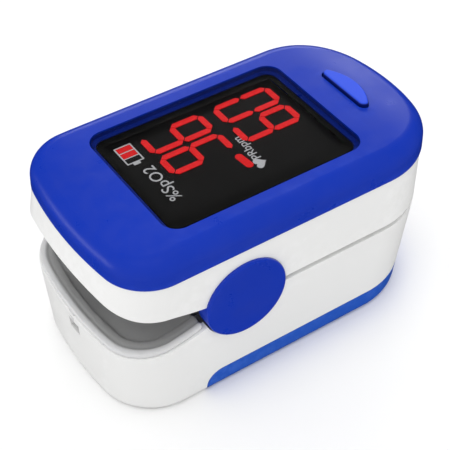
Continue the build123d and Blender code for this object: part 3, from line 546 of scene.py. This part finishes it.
pad = moulded("lower_finger_pad", "lower_pad_skin", 0.24, 2, MAT["pad_grey"])
v = get_co(pad.data)
outline = plan_points(-29.58, 28.9, 16.1, 26.8, 9.9, 63.0, 8.05)
d = dist_to(outline, v[:, :2])
rim_z = np.interp(v[:, 0], [-32, -27.3, -22.4, -20.0, -17.4, -15.7, -13.0, -9.5], [12.2, 12.85, 13.55, 13.95, 14.55, 15.2, 16.35, 17.0])
on_bead = (v[:, 0] < -15.5) & (v[:, 2] > rim_z - 0.15)
# a groove runs along the inside of the bead
groove = np.exp(-((d - 1.35) / 0.22) ** 2) * on_bead * (v[:, 2] > rim_z + 0.3)
# a shallow crease across the mouth end, and a slightly uneven moulded surface
crease = np.exp(-((v[:, 0] + 28.1 - 0.06 * (v[:, 1] + 1.5) ** 2 / 4) / 0.16) ** 2) * (np.abs(v[:, 1] + 2.0) < 2.6)
wave = 0.03 * np.sin(v[:, 0] * 0.9 + 0.4 * v[:, 1]) * np.cos(v[:, 1] * 0.55)
inner = (d > 1.8) & (v[:, 2] > 12.9)
v[:, 2] -= 0.28 * groove + 0.10 * crease * (v[:, 2] > 12.5) + (0.02 + wave) * inner
lo_b, hi_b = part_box("lower_finger_pad")
set_co(pad.data, keep_within(v, lo_b, hi_b))
# painted highlight on the bead rim, dimmed in the groove as painted shade
paint_rim_highlight(pad, np.where(on_bead, 1 / (1 + np.exp((d - 1.12) * 14)), 0) * (1 - 0.75 * groove))
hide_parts("lower_finger_pad")
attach(pad, "lower")

top_pad = moulded("upper_finger_pad", "upper_pad_skin", 0.26, 2, MAT["pad_grey"])
v = get_co(top_pad.data)
lo_b, hi_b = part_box("upper_finger_pad")
v[:, 2] += 0.02 * np.sin(v[:, 0] * 1.1) * np.cos(v[:, 1] * 0.6)
set_co(top_pad.data, keep_within(v, lo_b, hi_b))
paint_rim_highlight(top_pad, np.zeros(len(v)))
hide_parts("upper_finger_pad")
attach(top_pad, "upper")

# pad tongue over the front wall into its slot
lip = bmesh.new()
prof = [(-28.55, 13.25), (-29.15, 13.2), (-29.5, 12.75), (-29.56, 11.9), (-29.5, 10.9), (-29.3, 10.5), (-29.05, 10.9), (-29.1, 12.0), (-29.0, 12.65), (-28.55, 12.75)]
rows = []
for k in range(9):
    y = -0.15 - 1.35 * k / 8
    ease = 1 - 0.06 * (1 if k in (0, 8) else 0)
    rows.append([lip.verts.new((x * MM, y * MM, (12 + (z - 12) * ease) * MM)) for x, z in prof])
for r0, r1 in zip(rows, rows[1:]):
    for i in range(len(prof)):
        j = (i + 1) % len(prof)
        lip.faces.new((r0[i], r0[j], r1[j], r1[i]))
lip.faces.new(list(reversed(rows[0])))
lip.faces.new(rows[-1])
bmesh.ops.recalc_face_normals(lip, faces=lip.faces)
tongue = link("pad_tongue", lip, [MAT["pad_grey"]])
# the tongue carries the same painted rim highlight at 0.8
paint_rim_highlight(tongue, np.ones(len(tongue.data.vertices)) * 0.8)
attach(tongue, "lower")

# ---------------------------------------------------------------- springs and ribbon across the jaw
for name, z0, z1, mat in (("return_spring_left", 0.0073, 0.0167, "steel"), ("return_spring_right", 0.0073, 0.0167, "steel")):
    sp = copy_node(name, name + "_wire", MAT[mat])
    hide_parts(name)
    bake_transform(sp)
rib = copy_node("flex_ribbon", "flex_ribbon_strip", MAT["flex_amber"])
sub = rib.modifiers.new("cuts", "REMESH")
sub.mode = "VOXEL"
sub.voxel_size = 0.00009
apply_mods(rib)
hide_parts("flex_ribbon")
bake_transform(rib)

# ---------------------------------------------------------------- camera
AZ, EL, DIST = math.radians(-33.966), math.radians(43.808), 0.18186
back = Vector((math.sin(AZ) * math.cos(EL), -math.cos(AZ) * math.cos(EL), math.sin(EL)))
right = Vector((0, 0, 1)).cross(back).normalized()
up = back.cross(right)
target = right * (-1.741 * MM) + up * (-0.915 * MM) + Vector((0, 0, 15 * MM))
cam_data = bpy.data.cameras.new("camera")
cam_data.sensor_width = 36.0
cam_data.lens = 1182.11 / 450 * 36.0
cam_data.clip_start, cam_data.clip_end = 0.01, 20.0
cam = bpy.data.objects.new("camera", cam_data)
bpy.context.scene.collection.objects.link(cam)
cam.location = target + back * DIST
cam.rotation_mode = "QUATERNION"
cam.rotation_quaternion = (-back).to_track_quat("-Z", "Y")
bpy.context.scene.camera = cam

# ---------------------------------------------------------------- floor and light
floor_mesh = bpy.data.meshes.new("floor")
bm = bmesh.new()
bmesh.ops.create_grid(bm, x_segments=8, y_segments=8, size=1.2)
bm.to_mesh(floor_mesh); bm.free()
floor = bpy.data.objects.new("floor", floor_mesh)
bpy.context.scene.collection.objects.link(floor)
fm, fnt, fb = new_mat("floor")
fv = coords(fnt)
fnt.links.new(ramp(fnt, noise(fnt, fv, 3.0), [(0.3, (0.93, 0.93, 0.93, 1)), (0.7, (0.95, 0.95, 0.95, 1))]), fb.inputs["Base Color"])
fb.inputs["Roughness"].default_value = 0.9
fb.inputs["Specular IOR Level"].default_value = 0.1
floor.data.materials.append(fm)

world = bpy.data.worlds.new("world")
bpy.context.scene.world = world
world.use_nodes = True
wb = world.node_tree.nodes["Background"]
wb.inputs[0].default_value = (1.0, 1.0, 1.0, 1)
wb.inputs[1].default_value = 0.86
world.cycles_visibility.glossy = False
floor.visible_glossy = False


def area(name, loc, aim, size, power, colour=(1, 1, 1), size_y=None):
    d = bpy.data.lights.new(name, "AREA")
    d.shape = "RECTANGLE"
    d.size = size
    d.size_y = size_y or size
    d.energy = power
    d.color = colour
    o = bpy.data.objects.new(name, d)
    bpy.context.scene.collection.objects.link(o)
    o.location = loc
    o.rotation_mode = "QUATERNION"
    o.rotation_quaternion = (Vector(aim) - Vector(loc)).to_track_quat("-Z", "Y")
    return o


key = area("key_top", (-0.10, -0.10, 0.55), (0, 0, 0.015), 0.45, 0.9)
key.visible_glossy = False
area("rear_box", (0.26, 0.38, 0.20), (0, 0, 0.03), 0.34, 0.50, size_y=0.13)
side = area("left_low", (-0.40, 0.22, 0.06), (0, 0, 0.02), 0.30, 0.25, size_y=0.12)

bpy.context.scene.view_settings.view_transform = "Standard"
bpy.context.scene.view_settings.look = "None"
